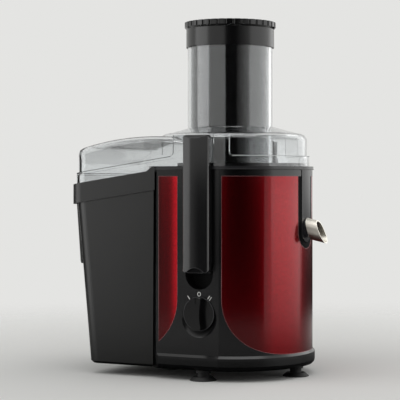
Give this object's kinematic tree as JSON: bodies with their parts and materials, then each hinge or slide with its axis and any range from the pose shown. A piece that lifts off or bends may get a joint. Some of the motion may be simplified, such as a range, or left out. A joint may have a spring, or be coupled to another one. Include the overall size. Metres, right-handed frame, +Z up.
{
  "type": "centrifugal juicer",
  "caption": "Centrifugal juicer: round motor body with lacquered side panels, clamp latches, clear lid with a wide feed tube and pusher, filter basket, spout and side pulp container.",
  "frame": {"origin": "point on the table under the motor axis", "axes": "+Z up along the motor axis, +X towards the juice spout, -X towards the pulp container, -Y towards the speed knob"},
  "size_m": [0.2684, 0.1878, 0.38],
  "materials": {
    "black_plastic": "moulded ABS, gloss black",
    "red_metal": "lacquered metallic red",
    "rubber": "moulded black rubber",
    "seal_rubber": "moulded silicone",
    "zinc_steel": "zinc plated",
    "ground_steel": "ground",
    "stainless": "pressed and brushed",
    "mesh_steel": "etched fine mesh",
    "lamination": "stacked steel sheet",
    "cast_alloy": "die cast",
    "copper_wire": "enamelled copper wire",
    "copper_bar": "turned copper",
    "brass": "pressed brass",
    "nickel": "polished nickel plate",
    "nylon_dark": "moulded glass-filled nylon",
    "nylon_pale": "moulded acetal",
    "knob_plastic": "moulded ABS, satin black",
    "latch_plastic": "moulded ABS, gloss black",
    "bowl_plastic": "moulded ABS, gloss black",
    "bin_plastic": "moulded ABS, satin black",
    "clear_plastic": "moulded clear polycarbonate",
    "smoke_plastic": "moulded grey SAN",
    "cap_plastic": "moulded ABS, dark grey"
  },
  "bodies": {
    "housing": {"base_plate": "black_plastic", "foot_spout": "rubber", "foot_knob": "rubber", "foot_bin": "rubber", "foot_back": "rubber", "base_screws": "zinc_steel", "lower_housing": "black_plastic", "upper_housing": "black_plastic", "panel_spout": "red_metal", "panel_knob_side": "red_metal", "panel_back_side": "red_metal", "cord_inlet": "rubber", "motor_mounts": "rubber", "motor_top_bracket": "cast_alloy", "motor_bottom_bracket": "cast_alloy", "motor_bolts": "zinc_steel", "stator": "lamination", "field_coils": "copper_wire", "brush_holders": "brass", "top_bearing": "ground_steel", "bottom_bearing": "ground_steel", "shaft_seal": "seal_rubber", "speed_switch": "nylon_dark", "safety_switch": "nylon_dark", "latch_pin_front": "ground_steel", "latch_pin_back": "ground_steel", "juice_bowl": "bowl_plastic", "spout_sleeve": "nickel", "lid": "clear_plastic"},
    "rotor": {"armature": "lamination", "armature_winding": "copper_wire", "commutator": "copper_bar", "motor_shaft": "ground_steel", "cooling_fan": "nylon_dark", "drive_coupling": "nylon_pale", "basket_base": "nylon_dark", "filter_mesh": "mesh_steel", "basket_rim": "stainless", "basket_ribs": "stainless", "grater_disc": "stainless", "grater_nut": "zinc_steel"},
    "knob": {"speed_knob": "knob_plastic"},
    "front_latch": {"latch_front": "latch_plastic"},
    "back_latch": {"latch_back": "latch_plastic"},
    "pusher": {"pusher_body": "smoke_plastic", "pusher_cap": "cap_plastic"},
    "container": {"pulp_container": "bin_plastic"}
  },
  "joints": [
    {"name": "rotor_spin", "type": "hinge", "parent": "housing", "child": "rotor", "pos_m": [0, 0, 0.15], "axis": [0, 0, 1], "continuous": true},
    {"name": "knob_turn", "type": "hinge", "parent": "housing", "child": "knob", "pos_m": [0, -0.083, 0.07], "axis": [0, -1, 0], "range_deg": [-36, 36]},
    {"name": "front_latch_swing", "type": "hinge", "parent": "housing", "child": "front_latch", "pos_m": [0, -0.078, 0.116], "axis": [1, 0, 0], "range_deg": [0, 28]},
    {"name": "back_latch_swing", "type": "hinge", "parent": "housing", "child": "back_latch", "pos_m": [0, 0.078, 0.116], "axis": [-1, 0, 0], "range_deg": [0, 28]},
    {"name": "pusher_slide", "type": "slide", "parent": "housing", "child": "pusher", "axis": [0, 0, 1], "range_m": [0, 0.12]},
    {"name": "container_slide", "type": "slide", "parent": "housing", "child": "container", "axis": [-0.9893, 0, -0.1461], "range_m": [0, 0.06]}
  ]
}
